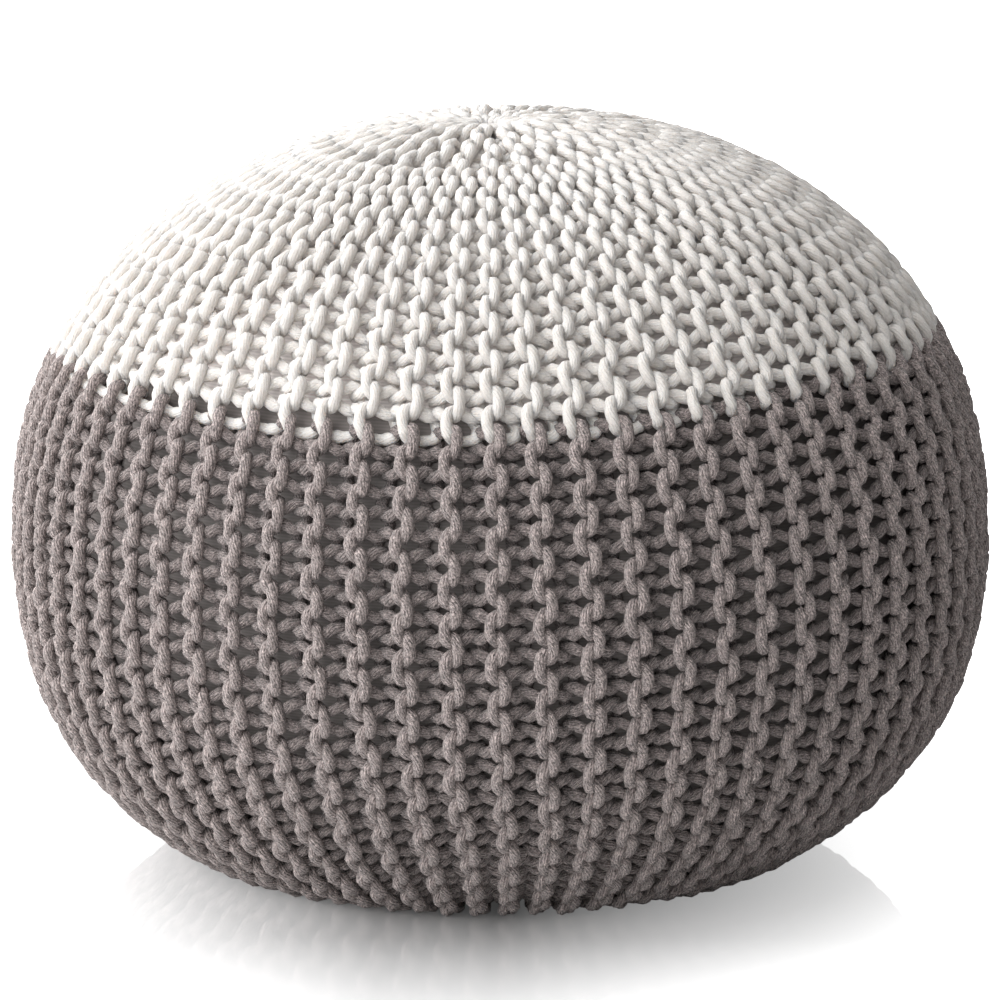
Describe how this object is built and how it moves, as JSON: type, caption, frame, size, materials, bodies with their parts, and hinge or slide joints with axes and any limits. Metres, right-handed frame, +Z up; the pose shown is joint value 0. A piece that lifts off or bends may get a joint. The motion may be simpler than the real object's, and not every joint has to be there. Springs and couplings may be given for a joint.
{
  "type": "knitted pouf",
  "caption": "Round filled floor pouf with a hand-knitted cover of thick cotton cord, white crown over a grey body, flat where it rests.",
  "frame": {"origin": "on the floor, at the middle of the pouf's box", "axes": "+Z up through the crown where the knitted rows are drawn together, +X to the right seen from the front, +Y to the back; the body leans 1.8 degrees towards -X"},
  "size_m": [0.5, 0.5, 0.3786],
  "materials": {
    "white_cord": "matt twisted cotton cord, natural white, knitted in garter stitch",
    "grey_cord": "matt twisted cotton cord, warm grey, knitted in garter stitch",
    "bag_cloth": "plain woven cloth, pale above the colour change and grey below it"
  },
  "bodies": {
    "root": {"cover_upper": "white_cord", "cover_lower": "grey_cord", "inner_bag": "bag_cloth"}
  },
  "joints": []
}
